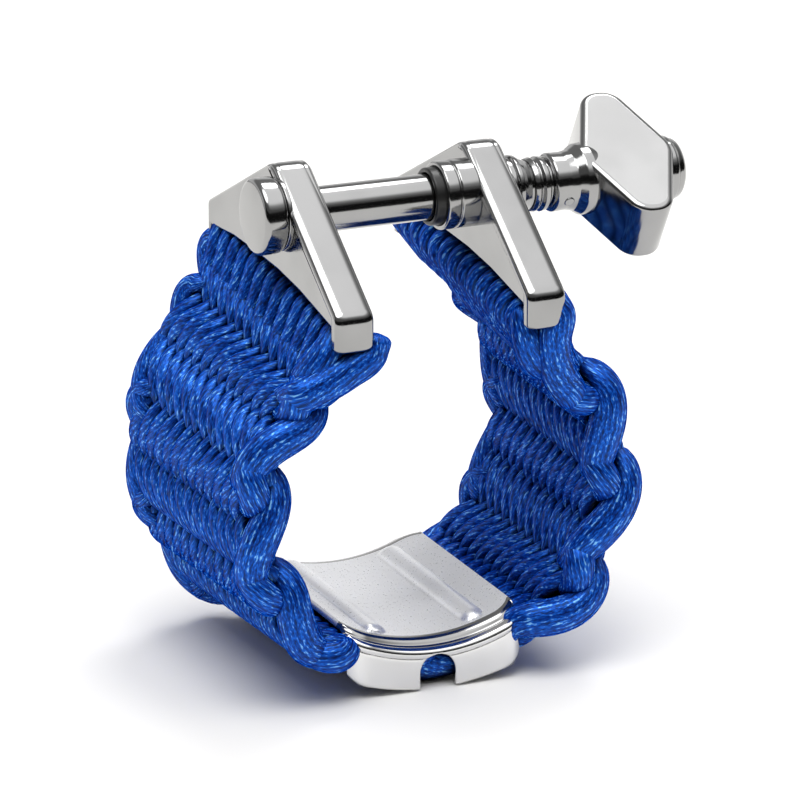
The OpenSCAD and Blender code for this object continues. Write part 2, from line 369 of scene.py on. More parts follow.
def edge_cord(mesh, u, out, edge, side, size, depth, tuck, offset):
    """A fat cord along the band's edge, through lengths u and distances out, thinned at its ends."""
    t = np.linspace(0, 1, len(u))
    full = np.sin(math.pi * np.clip(t, 0, 1)) ** 0.42
    shift = EDGE_SHIFT if side > 0 or edge > 0 else NEAR_LEFT_SHIFT
    out = out * (0.5 + 0.5 * full) + shift * smooth((u - HALF_LENGTH + 15) / 6)
    point, normal = on_band(u, out, edge * (depth - tuck * (1 - full)), side)
    facing = np.array([0.0, edge, 0.0]) + normal * (0.45 * out)[:, None]
    thin = 0.62 + 0.38 * full
    sweep(mesh, point, facing, EDGE_WIDE * size * thin, EDGE_DEEP * size * thin,
          EDGE_THREADS, EDGE_SIDES, offset)


def edge_diagonal(mesh, middle, side, edge, twist, offset, reach=EDGE_REACH):
    """A cord over the band's edge, from one face at its start to the other at its end."""
    size = 1.0 if edge < 0 else 0.92
    t = np.linspace(0, 1, 44)
    u = middle + EDGE_PITCH * reach * (2 * t - 1)
    swing = 1.62 if edge < 0 else 1.0
    out = twist * swing * np.sin(math.pi * (t - 0.5))
    edge_cord(mesh, u, out, edge, side, size, edge_depth(edge, size), END_TUCK, offset)


def edge_depth(edge, size):
    """How far along Y the middle of an edge cord lies."""
    reach = HALF_WIDTH + 0.1 if edge < 0 else HALF_WIDTH - 0.35
    return reach - EDGE_DEEP * size / 2


def edge_knob(mesh, middle, side, edge, twist, offset, lean=1.0, half=1.9):
    """The bulge of cord that shows between two diagonals."""
    size = 0.84
    lean = lean if edge < 0 else 0.5 * lean
    t = np.linspace(0, 1, 26)
    u = middle + half * (2 * t - 1)
    out = twist * (lean - 0.8 * (2 * t - 1))
    edge_cord(mesh, u, out, edge, side, size, edge_depth(edge, size) - 0.15, END_TUCK, offset)


def tip_cord(mesh, side, edge, twist, offset, end):
    """The cord that hugs the bracket's tip, crosses under it and ends on the other face."""
    keys = np.array([0.0, 0.18, 0.36, 0.56, 0.78, 1.0])
    run = np.array([-2.0, -1.0, -0.1, 1.5, 0.5 * (end + 1.9) + 0.2, end])
    away = np.array([-1.65, -1.75, -1.6, -0.5, 0.9, 1.5])
    t = np.linspace(0, 1, 50)
    u = ease(t, keys, run)
    out = twist * ease(t, keys, away)
    grow = 0.86 + 0.2 * smooth((t - 0.1) / 0.4)
    full = smooth((1 - t) / 0.16)
    start = np.sqrt(1 - (1 - np.clip(t / 0.1, 0, 1)) ** 2)
    depth = edge_depth(edge, 1.0) - 1.4 * (1 - full)
    point, normal = on_band(u, out, edge * depth, side)
    facing = np.array([0.0, edge, 0.0]) + normal * (0.2 * out)[:, None]
    thin = grow * (0.6 + 0.4 * full) * (0.25 + 0.75 * start)
    sweep(mesh, point, facing, 2.6 * thin, EDGE_DEEP * thin, EDGE_THREADS, EDGE_SIDES, offset)


def ease(t, keys, values):
    """A smooth curve through values at keys."""
    slopes = np.gradient(values, keys)
    i = np.clip(np.searchsorted(keys, t, side="right") - 1, 0, len(keys) - 2)
    span = keys[i + 1] - keys[i]
    s = (t - keys[i]) / span
    return (
        (2 * s ** 3 - 3 * s ** 2 + 1) * values[i]
        + (s ** 3 - 2 * s ** 2 + s) * span * slopes[i]
        + (3 * s ** 2 - 2 * s ** 3) * values[i + 1]
        + (s ** 3 - s ** 2) * span * slopes[i + 1]
    )


def edge_run(side, edge, rng):
    """All the fat cords of one edge of one half of the band."""
    mesh = Mesh()
    twist = -side
    first = EDGE_FIRST[side]
    last = HALF_LENGTH - 8.6
    middle = first
    while middle - EDGE_PITCH * 0.4 < last:
        reach = min(EDGE_REACH, (last + 2.0 - middle) / EDGE_PITCH)
        edge_diagonal(mesh, middle, side, edge, twist, rng.uniform(0, 9), reach)
        middle += EDGE_PITCH
    knob = first - EDGE_PITCH / 2 + 0.4
    while knob < last:
        edge_knob(mesh, knob, side, edge, twist, rng.uniform(0, 9))
        knob += EDGE_PITCH
    if edge < 0:
        tip_cord(mesh, side, edge, twist, rng.uniform(0, 9), first - 2.8)
        for low, high, near, far in ((0.0, 6.5, -0.9, 0.2), (-0.9, 4.4, 0.6, 1.5)):
            u = np.linspace(low, high, 30)
            out = np.linspace(near, far, 30) * twist
            depth = edge_depth(edge, 1.0) - 0.9
            edge_cord(mesh, u, out, edge, side, 1.0, depth, 0.8, rng.uniform(0, 9))
    else:
        edge_knob(mesh, 2.0, side, edge, twist, rng.uniform(0, 9), 0.2, 2.0)
    return mesh


def warp_half(side, rng):
    """The warp strands of one half of the band, with their turns round the anchor pin."""
    mesh = Mesh()
    for j in range(0, STRANDS, 2):
        path, normal, wide, deep = pair_path(j, side, U_CUT + 0.3)
        scale = rng.uniform(0.97, 1.03)
        sweep(mesh, path, normal, wide * scale, deep, WARP_THREADS, CORD_SIDES, rng.uniform(0, 9))
    return mesh


def warp_under_plate(rng):
    """The warp strands between the two halves, under the reed plate, and their near edge cord."""
    mesh = Mesh()
    u = np.arange(U_CUT, HALF_LENGTH, 0.2)
    for j in range(STRANDS):
        right, right_n, wide, deep = strand_line(j, u, 1)
        left, left_n, _, _ = strand_line(j, u[::-1], -1)
        path = np.concatenate([right, left])
        normal = np.concatenate([right_n, left_n])
        both = [np.concatenate([w, w[::-1]]) for w in (wide, deep)]
        sweep(mesh, path, normal, both[0], both[1], WARP_THREADS, CORD_SIDES, rng.uniform(0, 9))
    u = np.arange(HALF_LENGTH - NOTCH_CORD_HALF, HALF_LENGTH, 0.2)
    level = np.zeros_like(u)
    right, right_n = on_band(u, level, level - NOTCH_CORD_Y, 1)
    left, left_n = on_band(u[::-1], level, level - NOTCH_CORD_Y, -1)
    path = np.concatenate([right, left])
    normal = np.concatenate([right_n, left_n])
    full = np.ones(len(path))
    sweep(mesh, path, normal, NOTCH_CORD_WIDE * full, NOTCH_CORD_DEEP * full,
          EDGE_THREADS, EDGE_SIDES, rng.uniform(0, 9))
    return mesh


# --- Materials -------------------------------------------------------------------------------------

def new_material(name):
    """An empty node material and its Principled shader."""
    material = bpy.data.materials.new(name)
    material.use_nodes = True
    return material, material.node_tree, material.node_tree.nodes["Principled BSDF"]


def add_node(tree, kind, **settings):
    """A new node of a kind, with its settings."""
    made = tree.nodes.new(kind)
    for key, value in settings.items():
        setattr(made, key, value)
    return made


def math_node(tree, operation, a, b=None):
    """A maths node whose inputs are sockets or numbers."""
    made = add_node(tree, "ShaderNodeMath", operation=operation)
    for i, value in enumerate((a, b)):
        if isinstance(value, bpy.types.NodeSocket):
            tree.links.new(value, made.inputs[i])
        elif value is not None:
            made.inputs[i].default_value = value
    return made.outputs[0]


def ramp_node(tree, source, stops):
    """A colour ramp with stops of (place, colour)."""
    made = add_node(tree, "ShaderNodeValToRGB")
    made.color_ramp.interpolation = "EASE"
    elements = made.color_ramp.elements
    while len(elements) < len(stops):
        elements.new(0.5)
    for element, (place, colour) in zip(elements, stops):
        element.position = place
        element.color = (*colour, 1.0)
    tree.links.new(source, made.inputs[0])
    return made.outputs[0]


def grey_ramp(tree, source, stops):
    """A colour ramp with stops of (place, brightness)."""
    return ramp_node(tree, source, [(place, (value,) * 3) for place, value in stops])


def scaled(tree, source, factor, added):
    """A socket's value times factor, with another number added."""
    return math_node(tree, "ADD", math_node(tree, "MULTIPLY", source, factor), added)


def cord_material(name, lay):
    """Satin cord laid up from fine threads, with painted shade in its hollows and painted glints in
    its colour. lay is the length in millimetres that a thread climbs.
    """
    material, tree, shader = new_material(name)
    uv = add_node(tree, "ShaderNodeUVMap", uv_map="thread")
    split = add_node(tree, "ShaderNodeSeparateXYZ")
    tree.links.new(uv.outputs[0], split.inputs[0])
    along, around = split.outputs[0], split.outputs[1]
    thread = math_node(tree, "ADD", around, math_node(tree, "DIVIDE", along, lay))
    groove = math_node(tree, "SINE", math_node(tree, "MULTIPLY", thread, 2 * math.pi))
    groove = math_node(tree, "MULTIPLY", math_node(tree, "ADD", groove, 1.0), 0.5)

    def fibres(across, lengthwise, detail):
        place = add_node(tree, "ShaderNodeCombineXYZ")
        tree.links.new(math_node(tree, "MULTIPLY", thread, across), place.inputs[0])
        tree.links.new(math_node(tree, "MULTIPLY", along, lengthwise), place.inputs[1])
        noise = add_node(tree, "ShaderNodeTexNoise")
        noise.inputs["Scale"].default_value = 1.0
        noise.inputs["Detail"].default_value = detail
        tree.links.new(place.outputs[0], noise.inputs["Vector"])
        return noise.outputs[0]

    fine = fibres(3.6, 3.0, 1.0)
    tone = fibres(0.9, 0.8, 2.0)
    mixed = math_node(tree, "MULTIPLY", groove, 0.10)
    mixed = math_node(tree, "ADD", mixed, math_node(tree, "MULTIPLY", fine, 0.48))
    mixed = math_node(tree, "ADD", mixed, math_node(tree, "MULTIPLY", tone, 0.42))
    # Fibre tone that differs at random, with painted glints: the last, light blue stop paints
    # highlights on the brightest fibres.
    colour = ramp_node(tree, mixed, [
        (0.38, (0.0002, 0.006, 0.10)),
        (0.48, (0.0006, 0.038, 0.36)),
        (0.58, (0.0050, 0.120, 0.70)),
        (0.66, (0.2400, 0.580, 0.98)),
    ])
    # Painted shade: ambient occlusion darkens the base colour in the gaps between strands and rows,
    # and also cuts the gloss there.
    hollow = add_node(tree, "ShaderNodeAmbientOcclusion", samples=8)
    hollow.inputs["Distance"].default_value = 1.7 * MM
    shade = grey_ramp(tree, hollow.outputs["AO"], [(0.22, 0.02), (0.86, 1.0)])
    deep = add_node(tree, "ShaderNodeMix", data_type="RGBA", blend_type="MULTIPLY")
    deep.inputs[0].default_value = 1.0
    tree.links.new(colour, deep.inputs[6])
    tree.links.new(shade, deep.inputs[7])
    weight = add_node(tree, "ShaderNodeLayerWeight")
    weight.inputs["Blend"].default_value = 0.5
    gloss = grey_ramp(tree, weight.outputs["Facing"], [(0.30, 1.0), (0.72, 0.0)])
    tree.links.new(deep.outputs[2], shader.inputs["Base Color"])
    open_part = math_node(tree, "MULTIPLY", shade, gloss)
    dull = math_node(tree, "SUBTRACT", 1.0, gloss)
    rough = scaled(tree, fine, 0.30, 0.22)
    rough = math_node(tree, "ADD", rough, math_node(tree, "MULTIPLY", dull, 0.5))
    tree.links.new(rough, shader.inputs["Roughness"])
    bump = add_node(tree, "ShaderNodeBump")
    bump.inputs["Strength"].default_value = 0.8
    bump.inputs["Distance"].default_value = 0.07 * MM
    tree.links.new(mixed, bump.inputs["Height"])
    tree.links.new(bump.outputs[0], shader.inputs["Normal"])
    tree.links.new(open_part, shader.inputs["Specular IOR Level"])
    tree.links.new(math_node(tree, "MULTIPLY", open_part, 0.4), shader.inputs["Metallic"])
    shader.inputs["Specular Tint"].default_value = (0.22, 0.6, 1.0, 1.0)
    return material


def steel_material(name, shade, roughness, grain, bump_mm, metallic=1.0):
    """Steel with faint scuffs. grain is how many of them there are to a millimetre.

    bump_mm is their depth, and no bump is made where it is 0."""
    material, tree, shader = new_material(name)
    coordinates = add_node(tree, "ShaderNodeTexCoord")
    noise = add_node(tree, "ShaderNodeTexNoise")
    noise.inputs["Scale"].default_value = grain / MM
    noise.inputs["Detail"].default_value = 4.0
    tree.links.new(coordinates.outputs["Object"], noise.inputs["Vector"])
    broad = add_node(tree, "ShaderNodeTexNoise")
    broad.inputs["Scale"].default_value = 0.18 / MM
    tree.links.new(coordinates.outputs["Object"], broad.inputs["Vector"])
    colour = grey_ramp(tree, broad.outputs[0], [(0.3, shade * 0.94), (0.7, shade * 1.06)])
    tree.links.new(colour, shader.inputs["Base Color"])
    rough = scaled(tree, noise.outputs[0], roughness * 0.6, roughness * 0.7)
    tree.links.new(rough, shader.inputs["Roughness"])
    shader.inputs["Metallic"].default_value = metallic
    if bump_mm:
        bump = add_node(tree, "ShaderNodeBump")
        bump.inputs["Distance"].default_value = bump_mm * MM
        bump.inputs["Strength"].default_value = 0.5
        tree.links.new(noise.outputs[0], bump.inputs["Height"])
        tree.links.new(bump.outputs[0], shader.inputs["Normal"])
    return material


def liner_material():
    """Black moulded liner with a soft gloss."""
    material, tree, shader = new_material("black_liner")
    noise = add_node(tree, "ShaderNodeTexNoise")
    noise.inputs["Scale"].default_value = 3.0 / MM
    colour = grey_ramp(tree, noise.outputs[0], [(0.3, 0.006), (0.7, 0.014)])
    tree.links.new(colour, shader.inputs["Base Color"])
    tree.links.new(scaled(tree, noise.outputs[0], 0.2, 0.25), shader.inputs["Roughness"])
    return material


def floor_material():
    """Matt white paper."""
    material, _, shader = new_material("floor_paper")
    shader.inputs["Base Color"].default_value = (0.94, 0.93, 0.91, 1.0)
    shader.inputs["Roughness"].default_value = 0.9
    shader.inputs["Specular IOR Level"].default_value = 0.1
    return material


WARP = cord_material("blue_warp_cord", 1.1)
EDGE = cord_material("blue_edge_cord", -1.6)
STEEL = steel_material("polished_steel", 0.34, 0.13, 6.0, 0.0006)
SATIN_STEEL = steel_material("satin_steel", 0.25, 0.34, 14.0, 0.0030)
# A satin finish with painted sheen: near white and half diffuse, so the plate shows bright in its
# shaded place.
PLATE_SATIN_AND_SHEEN = steel_material("plate_satin_and_sheen", 0.97, 0.30, 6.0, 0.0, 0.55)
# A lighter copy of the polished steel, a painted sheen on the plate's fold and flanges.
PAINTED_SHEEN_STEEL = steel_material("painted_sheen_steel", 0.74, 0.12, 6.0, 0.0004)
LINER = liner_material()


# --- Metal pieces ----------------------------------------------------------------------------------

def rounded(points, radius, steps=5, closed=True):
    """An outline with each corner turned into an arc of up to radius."""
    points = [np.array(p, float) for p in points]
    made = []
    for i, corner in enumerate(points):
        if not closed and i in (0, len(points) - 1):
            made.append(corner)
            continue
        before = points[i - 1] - corner
        after = points[(i + 1) % len(points)] - corner
        la, lb = np.linalg.norm(before), np.linalg.norm(after)
        before, after = before / la, after / lb
        half = math.acos(np.clip(before @ after, -1, 1)) / 2
        if half > math.radians(88):
            made.append(corner)
            continue
        cut = min(radius / math.tan(half), 0.45 * la, 0.45 * lb)
        r = cut * math.tan(half)
        centre = corner + (before + after) / np.linalg.norm(before + after) * r / math.sin(half)
        start = corner + before * cut - centre
        end = corner + after * cut - centre
        a0, a1 = math.atan2(start[1], start[0]), math.atan2(end[1], end[0])
        turn = (a1 - a0 + math.pi) % (2 * math.pi) - math.pi
        for k in range(steps + 1):
            a = a0 + turn * k / steps
            made.append(centre + r * np.array([math.cos(a), math.sin(a)]))
    return made


def link(name, data, material):
    """A smooth-shaded object of a mesh, with its faces turned outwards."""
    shape = bmesh.new()
    shape.from_mesh(data)
    if shape.calc_volume(signed=True) < 0:
        bmesh.ops.reverse_faces(shape, faces=shape.faces)
        shape.to_mesh(data)
    shape.free()
    data.polygons.foreach_set("use_smooth", [True] * len(data.polygons))
    data.materials.append(material)
    obj = bpy.data.objects.new(name, data)
    bpy.context.scene.collection.objects.link(obj)
    return obj


def lathe(name, outline, material, radius=0.12, segments=96):
    """Turns an outline of (x, distance from the screw's axis) about the screw's axis.

    An outline that starts on the axis ends on it too. Any other is a closed loop.
    """
    solid = outline[0][1] == 0
    profile = rounded(outline, radius, closed=not solid)
    line = profile[1:-1] if solid else profile
    points, faces = [], []
    for k in range(segments):
        a = 2 * math.pi * k / segments
        points += [(x, SCREW_Y + r * math.cos(a), SCREW_Z + r * math.sin(a)) for x, r in line]
    n = len(line)
    first, last = segments * n, segments * n + 1
    for k in range(segments):
        a, b = k * n, ((k + 1) % segments) * n
        count = n - 1 if solid else n
        faces += [[a + i, a + (i + 1) % n, b + (i + 1) % n, b + i] for i in range(count)]
        if solid:
            faces += [[first, a, b], [last, b + n - 1, a + n - 1]]
    if solid:
        points += [(x, SCREW_Y, SCREW_Z) for x in (profile[0][0], profile[-1][0])]
    data = bpy.data.meshes.new(name)
    data.from_pydata([tuple(c * MM for c in p) for p in points], [], faces)
    return link(name, data, material)


def carve(obj, cutter):
    """Cuts a closed shape out of an object for good, and deletes the cutting shape."""
    cut = obj.modifiers.new("cut", "BOOLEAN")
    cut.operation = "DIFFERENCE"
    cut.solver = "MANIFOLD"
    cut.object = cutter
    seen = obj.evaluated_get(bpy.context.evaluated_depsgraph_get())
    whole = bpy.data.meshes.new_from_object(seen)
    obj.modifiers.clear()
    obj.data = whole
    bpy.data.objects.remove(cutter)


def inward(outline):
    """Unit steps inward from each corner of a closed outline, longer at sharp corners."""
    points = np.array(outline)
    ahead = np.roll(points, -1, 0) - points
    ahead /= np.linalg.norm(ahead, axis=1)[:, None]
    normal = np.stack([-ahead[:, 1], ahead[:, 0]], 1)
    both = normal + np.roll(normal, 1, 0)
    both /= np.linalg.norm(both, axis=1)[:, None]
    long = 1 / np.clip(np.sum(both * normal, 1), 0.5, 1)
    x, y = points.T
    area = np.sum(x * np.roll(y, -1) - np.roll(x, -1) * y)
    return both * long[:, None] * (1 if area > 0 else -1)


def circle(radius, sides, centre=(0.0, 0.0)):
    """A circle's outline."""
    return [
        (centre[0] + radius * math.cos(a), centre[1] + radius * math.sin(a))
        for a in np.linspace(0, 2 * math.pi, sides + 1)[:-1]
    ]


def ring_outline(low, high, inner, outer):
    """A ring's outline for lathe, from x low to x high."""
    return [(low, inner), (low, outer), (high, outer), (high, inner)]


def prism(name, outline, low, high, place, material, bevel, steps=6, reach=None):
    """A closed prism of an outline with rounded edges, placed by a function of (a, b, height).

    Its ends are drawn in by bevel, over a height of reach, which is bevel unless it is given."""
    reach = reach or bevel
    flat = np.array(outline)
    step_in = inward(outline)
    rings = []
    for k in range(steps + 1):
        a = math.pi / 2 * k / steps
        rings.append((bevel * (1 - math.sin(a)), low + reach * (1 - math.cos(a))))
    rings += [(inset, high + low - h) for inset, h in rings[::-1]]
    points = []
    for inset, h in rings:
        ring = flat + step_in * inset
        points += [tuple(np.array(place(a, b, h)) * MM) for a, b in ring]
    n = len(outline)
    faces = [list(range(n))[::-1], list(range(len(points) - n, len(points)))]
    for k in range(len(rings) - 1):
        faces += [
            [k * n + i, k * n + (i + 1) % n, (k + 1) * n + (i + 1) % n, (k + 1) * n + i]
            for i in range(n)
        ]
    data = bpy.data.meshes.new(name)
    data.from_pydata(points, [], faces)
    obj = link(name, data, material)
    for polygon in data.polygons[:2]:
        polygon.use_smooth = False
    return obj


def bracket_sides():
    """The bracket's corners in Y and Z, and its apex as an arc from the near slope to the far."""
    near, far = BRACKET_LOW[1], BRACKET_HIGH[1]
    base, top = BRACKET_LOW[2], BRACKET_HIGH[2]
    middle, apex_r, near_h, far_h = (near + far) / 2, 1.9, 2.1, 4.3
    centre = np.array([middle, top - apex_r])
    slopes = []
    for height in (near_h, far_h):
        run, rise = middle - near, centre[1] - base - height
        slopes.append(math.atan2(rise, run) + math.asin(apex_r / math.hypot(run, rise)))
    apex = [
        centre + apex_r * np.array([math.cos(a), math.sin(a)])
        for a in np.linspace(math.pi / 2 + slopes[0], math.pi / 2 - slopes[1], 17)
    ]
    return near, far, base, base + near_h, base + far_h, slopes[0], apex


def bracket(side, label):
    """A bracket: the near strap and the web, bored for the screw, and the rod in its loops."""
    near, far, base, near_top, far_top, slope, apex = bracket_sides()
    x = PIN[0] * side
    lug = 1.3
    half_strap = 1.55
    half_web = 1.42
    strap_deep = 1.15
    foot_drop = 0.9

    def place(a, b, h):
        return (x + h, a, b)

    down = np.array([math.sin(slope), -math.cos(slope)])
    foot = base - foot_drop
    under = np.array([near, near_top]) + down * strap_deep
    under_at_lug = under + np.array([1, math.tan(slope)]) * (near + lug - under[0])
    back = apex[12]
    strap_line = rounded([(near + lug, foot), (near, foot), (near, near_top)], 0.5, 6, False)[1:-1]
    strap_line += rounded([(near, foot), (near, near_top - 0.15), apex[0]], 1.25, 8, False)[1:]
    strap_line += apex[1:13]
    strap_line += [back + np.array([-0.35, -1.1]), apex[1] + down * strap_deep, under_at_lug]
    strap_line += [(near + lug, foot)]
    strap = prism(
        f"{label}_bracket_strap", strap_line, -half_strap, half_strap, place, STEEL, 0.42, 8, 0.95)

    web = [(near + 1.0, foot + foot_drop), (near + 1.0, near_top + 0.25)]
    web += [p - np.array([0, 0.04]) for p in apex]
    web += rounded([apex[-1], (far, far_top), (far, base)], 0.55, 6, closed=False)[1:]
    web += [(far - 0.5, base), (far - 0.5, 16.3)]
    web += [(7.0, 16.6), (2.5, 16.5), (-1.8, 16.3), (-6.0, 15.8), (near + 1.5, 14.7)]
    web += [(near + 1.4, foot + foot_drop)]
    plate = prism(f"{label}_bracket_web", web, -half_web, half_web, place, STEEL, 0.25, 5)

    rod = circle(0.5, 24)
    rise = 0.05

    def along_pin(a, b, h):
        return (x + a, h, PIN[2] - 0.45 + b + rise * h)

    pin = prism(f"{label}_anchor_rod", rod, near + 0.5, far - 0.2, along_pin, STEEL, 0.1, 3)
    bore = 2.1 if side > 0 else radius_of("draw_tube") - 0.1
    ring = circle(bore, 64, (SCREW_Y, SCREW_Z))
    for piece in (strap, plate):
        carve(piece, prism("bore_cutter", ring, -4, 4, place, STEEL, 0.01, 1))
    for piece in (strap, plate, pin):
        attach(piece, f"{label}_bracket")
    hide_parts(f"{label}_bracket")
    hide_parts(f"{label}_anchor_pin")


def turned_pieces():
    """The draw tube, head, washers, bush, liner and neck, each replacing its CAD node."""
    tube_r = radius_of("draw_tube")
    head_r = radius_of("tube_head")
    washer_r = radius_of("head_washer")
    bush_r = radius_of("guide_bush")
    liner_r = radius_of("bush_liner")
    thrust_r = radius_of("thrust_washer")
    shank_r = radius_of("screw_shank")
    bore = 1.05
    neck_bore = 1.0
    bush_end_r = 2.2
    collar, sleeve = COLLAR_LOW[0], SLEEVE_LOW[0]
    # Node, body, corner radius and outline; all of polished steel but the liner
    specs = [
        ("draw_tube", "left_bracket", 0.15,
         [(TUBE_LOW[0], 0.3), (TUBE_LOW[0], tube_r), (TUBE_HIGH[0], tube_r), (TUBE_HIGH[0], bore),
          (TUBE_LOW[0] + 1.8, bore), (TUBE_LOW[0] + 1.8, 0.3)]),
        ("tube_head", "left_bracket", 0.42, ring_outline(HEAD_LOW[0], HEAD_HIGH[0], 0.0, head_r)),
        ("head_washer", "left_bracket", 0.08,
         ring_outline(WASHER_LOW[0], WASHER_HIGH[0], tube_r, washer_r)),
        ("guide_bush", "right_bracket", 0.22,
         [(BUSH_LOW[0], liner_r), (BUSH_LOW[0], bush_r), (BUSH_LOW[0] + 1.0, bush_r),
          (BUSH_LOW[0] + 1.12, bush_r - 0.12), (BUSH_LOW[0] + 1.24, bush_r),
          (PIN[0] - 1.4, bush_r), (PIN[0] - 1.2, bush_end_r), (BUSH_HIGH[0], bush_end_r),
          (BUSH_HIGH[0], bore), (LINER_HIGH[0], bore), (LINER_HIGH[0], liner_r)]),
        ("bush_liner", "right_bracket", 0.18,
         ring_outline(LINER_LOW[0], LINER_HIGH[0], tube_r + 0.05, liner_r)),
        ("screw_shank", "thumb_screw", 0.1,
         ring_outline(SHANK_LOW[0], SHANK_HIGH[0], 0.0, shank_r)),
        ("thrust_washer", "thumb_screw", 0.12,
         ring_outline(THRUST_LOW[0], THRUST_HIGH[0], neck_bore, thrust_r)),
        ("neck_collar", "thumb_screw", 0.12,
         [(collar, neck_bore), (collar, 2.25), (collar + 0.15, 2.42), (collar + 0.45, 2.38),
          (collar + 0.8, 2.15), (collar + 1.2, 1.95), (sleeve, 1.88), (sleeve, neck_bore)]),
        ("neck_sleeve", "thumb_screw", 0.08,
         [(sleeve, neck_bore), (sleeve, 1.98), (sleeve + 0.35, 2.08), (sleeve + 0.62, 1.86),
          (sleeve + 0.85, 2.1), (sleeve + 1.2, 2.06), (sleeve + 1.35, 1.8),
          (SLEEVE_HIGH[0], 1.8), (SLEEVE_HIGH[0], neck_bore)]),
    ]
    for node, body, radius, outline in specs:
        material, slot = STEEL, "polished_steel"
        if node == "bush_liner":
            material, slot = LINER, "black_liner"
        piece = lathe(f"{node}_turned", outline, material, radius)
        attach(piece, body)
        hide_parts(node)


def thumb_pieces():
    """The hub, the wing with its satin faces, the end cap and the cross pin."""
    hub_r = 2.55
    start, end = WING_LOW[0], CAP_HIGH[0] - 0.9
    hub = lathe("thumb_hub", [
        (start, 0.6), (start, 2.05), (start + 0.2, 2.25), (start + 1.3, 2.2), (start + 1.9, 2.3),
        (start + 2.5, 2.7), (start + 3.2, 2.75), (start + 4.0, hub_r), (end, hub_r), (end, 0.6),
    ], STEEL, 0.3)
    cap = lathe("end_cap_dome", [
        (end - 0.3, 0.0), (end - 0.3, 2.4), (end, 2.4), (end + 0.45, 2.25), (end + 0.8, 1.7),
        (end + 0.9, 0.9), (end + 0.9, 0.0),
    ], STEEL, 0.5)

    turn = math.radians(30)
    middle = 18.8
    half_w, half_span, half_tip, half_t = 3.9, 6.4, 1.3, 2.62
    outline = rounded([
        (-half_w, 0), (-half_tip, -half_span), (half_tip, -half_span),
        (half_w, 0), (half_tip, half_span), (-half_tip, half_span)], 2.0, 10)

    def place(a, b, h):
        y = b * math.cos(turn) - h * math.sin(turn)
        z = b * math.sin(turn) + h * math.cos(turn)
        return (middle + a, SCREW_Y + y, SCREW_Z + z)

    wing = prism("thumb_wing_body", outline, -half_t, half_t, place, STEEL, 0.50, 7, 0.36)
    wing.data.materials.append(SATIN_STEEL)
    for polygon in wing.data.polygons[:2]:
        polygon.material_index = 1
    pin_x = start + 1.15
    pin_half = 2.28

    def across_hub(a, b, h):
        y = h * math.cos(turn) - b * math.sin(turn)
        z = h * math.sin(turn) + b * math.cos(turn)
        return (pin_x + a, SCREW_Y + y, SCREW_Z + z)

    pin = prism(
        "cross_pin_end", rounded(circle(0.42, 16), 0.02, 1), -pin_half, pin_half, across_hub,
        STEEL, 0.08)
    for piece in (hub, cap, wing, pin):
        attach(piece, "thumb_screw")
    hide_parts("thumb_wing")
    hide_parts("end_cap")
    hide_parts("cross_pin")


# --- Reed plate ------------------------------------------------------------------------------------

PLATE_R = 15.0
PLATE_TOP = 11.1
PLATE_SHEET = 0.8
SEEN_SHEET = 0.5
RIB_X = 4.0
RIB_HALF = 7.7
RIB_WIDE = 0.8
RIB_RISE = 0.5
NOTCH_R = 1.48
NOTCH_DROP = 1.1
CORNER_R = 1.7
FOOT_R = 19.6
FOOT_CORNER = 1.1


def plate_top(x, y):
    """Height of the plate's upper face, with its two ribs."""
    z = PLATE_R - PLATE_TOP - np.sqrt(PLATE_R ** 2 - x ** 2)
    beyond = np.maximum(np.abs(y) - RIB_HALF, 0)
    for side in (-1, 1):
        away = np.hypot(x - side * RIB_X, beyond)
        z = z + RIB_RISE * np.clip(1 - (away / RIB_WIDE) ** 2, 0, 1) ** 0.6
    return z


def flange_foot(x):
    """Height of a flange's lower edge, rounded at its corners."""
    z = (FOOT_R + 0.4) - PLATE_TOP - PLATE_SHEET - 3.0 - np.sqrt(FOOT_R ** 2 - x ** 2)
    corner = np.clip((np.abs(x) - (PLATE_HIGH[0] - FOOT_CORNER)) / FOOT_CORNER, 0, 1)
    return z + FOOT_CORNER * (1 - np.sqrt(np.clip(1 - corner ** 2, 0, 1)))


def corner_back(x):
    """How far the plate's ends draw back towards its long sides, which rounds its corners."""
    over = np.clip((np.abs(x) - (PLATE_HIGH[0] - CORNER_R)) / CORNER_R, 0, 0.88)
    return CORNER_R * (1 - np.sqrt(1 - over ** 2))


def end_fold(count):
    """Distance out and height of the sheet's fold from its top, over a bead, into the flange."""
    keys = np.array([0.0, 0.16, 0.34, 0.46, 0.58, 0.72, 0.84, 0.93, 1.0])
    out = np.array([-1.55, -1.20, -0.90, -0.70, -0.36, -0.02, 0.0, -0.13, -0.10])
    drop = np.array([0.0, -0.06, -0.42, -0.52, -0.50, -0.62, -0.84, -0.98, -1.10])
    t = np.linspace(0, 1, count)
    return ease(t, keys, out), ease(t, keys, drop)


